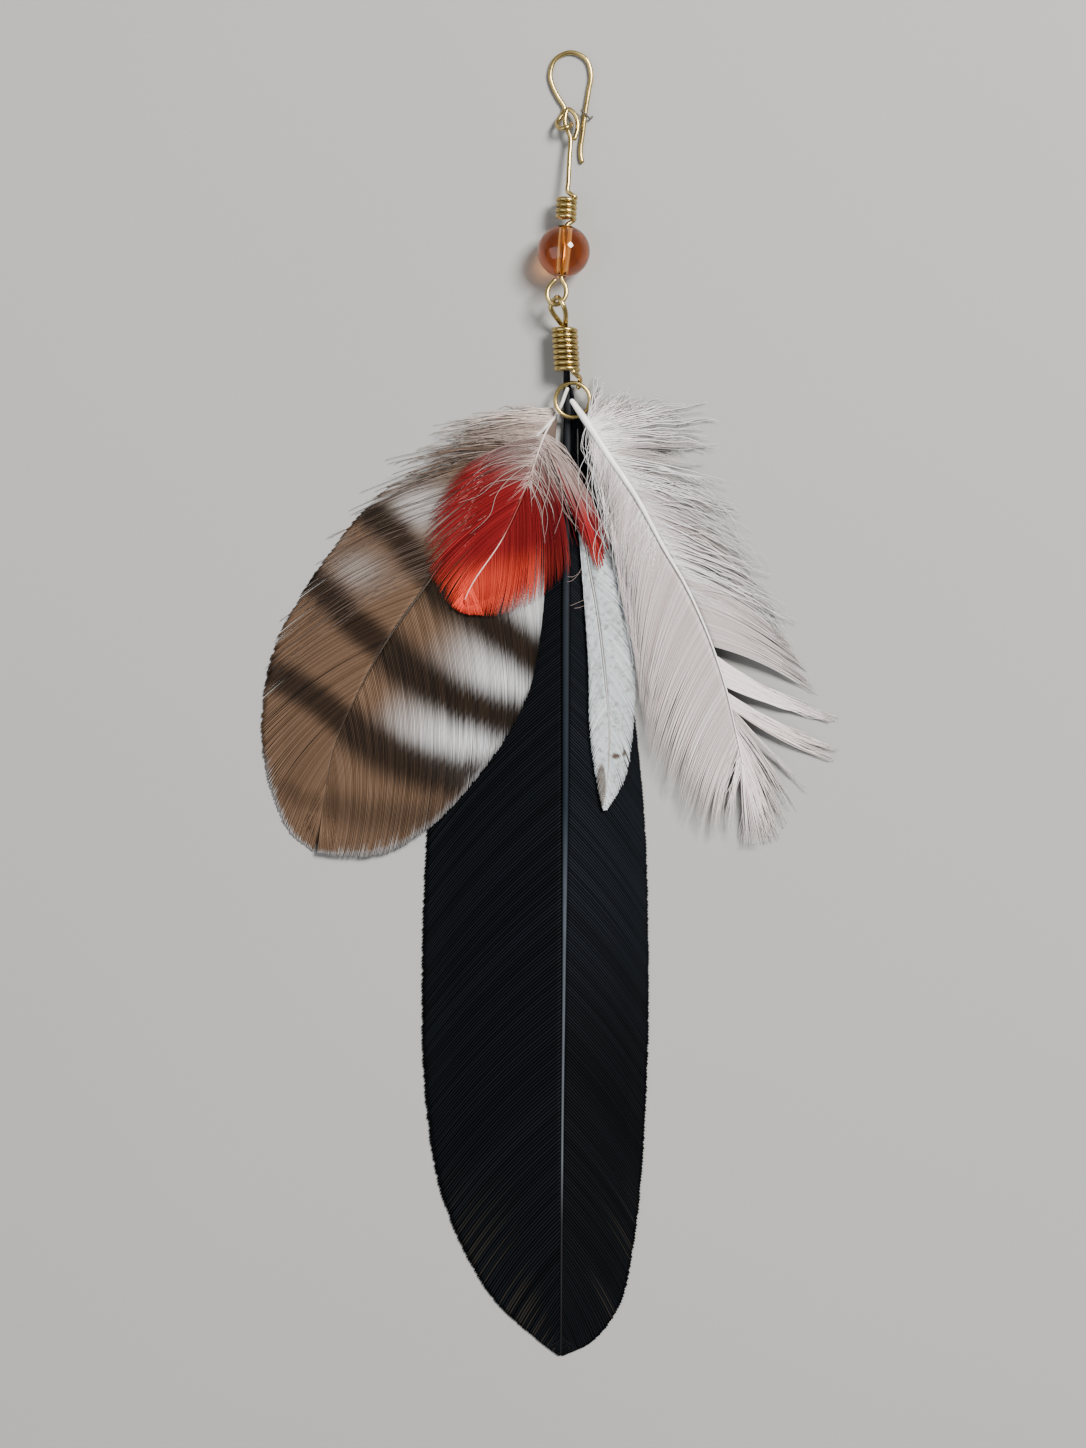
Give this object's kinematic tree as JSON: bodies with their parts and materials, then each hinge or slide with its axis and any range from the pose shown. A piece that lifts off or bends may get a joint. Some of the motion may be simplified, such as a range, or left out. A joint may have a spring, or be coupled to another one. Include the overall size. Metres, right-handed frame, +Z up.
{
  "type": "feather ornament",
  "caption": "Hanging ornament: a long black vulture feather and smaller banded, red, grey and white feathers, tied with brass wire under an amber bead and a hook.",
  "frame": {"origin": "middle of the box's base, on the surface that the ornament lies on", "axes": "+Y along the black feather toward the hook, +Z up out of the surface, +X to the white feather's side"},
  "size_m": [0.0886, 0.1996, 0.008],
  "materials": {
    "black_vane": "matte blue-black barbs with a satin sheen along the shaft",
    "barred_vane": "matte barbs in brown and cream bands, white at one side",
    "red_vane": "matte crimson barbs with an orange tip and a pale downy base",
    "grey_vane": "matte mottled pale grey barbs",
    "white_vane": "soft pinkish white barbs and a glossy white quill",
    "ring_brass": "aged, satin",
    "coil_brass": "aged, satin",
    "pin_brass": "aged, satin",
    "hook_brass": "aged, satin",
    "amber_bead": "clear, polished",
    "dark_fibre": "matte"
  },
  "bodies": {
    "feathers": {"black_vulture_feather": "black_vane", "pale_grey_feather": "grey_vane", "barred_feather": "barred_vane", "red_feather": "red_vane", "white_feather": "white_vane", "jump_ring": "ring_brass", "coil_wire": "coil_brass"},
    "bead_link": {"pin_wire": "pin_brass"},
    "bead": {"bead": "amber_bead"},
    "hook": {"hook_wire": "hook_brass", "leg_fibre": "dark_fibre"}
  },
  "joints": [
    {"name": "link_swing", "type": "hinge", "parent": "feathers", "child": "bead_link", "pos_m": [0.00088, 0.06154, 0.0048], "axis": [0, 0, 1], "range_deg": [-35, 35]},
    {"name": "bead_spin", "type": "hinge", "parent": "bead_link", "child": "bead", "pos_m": [0.00195, 0.06865, 0.00406], "axis": [0.0836, 0.9887, -0.1246], "continuous": true},
    {"name": "hook_swing", "type": "hinge", "parent": "bead_link", "child": "hook", "pos_m": [0.0022, 0.08839, 0.0016], "axis": [0, 0, 1], "range_deg": [-15, 30]}
  ]
}
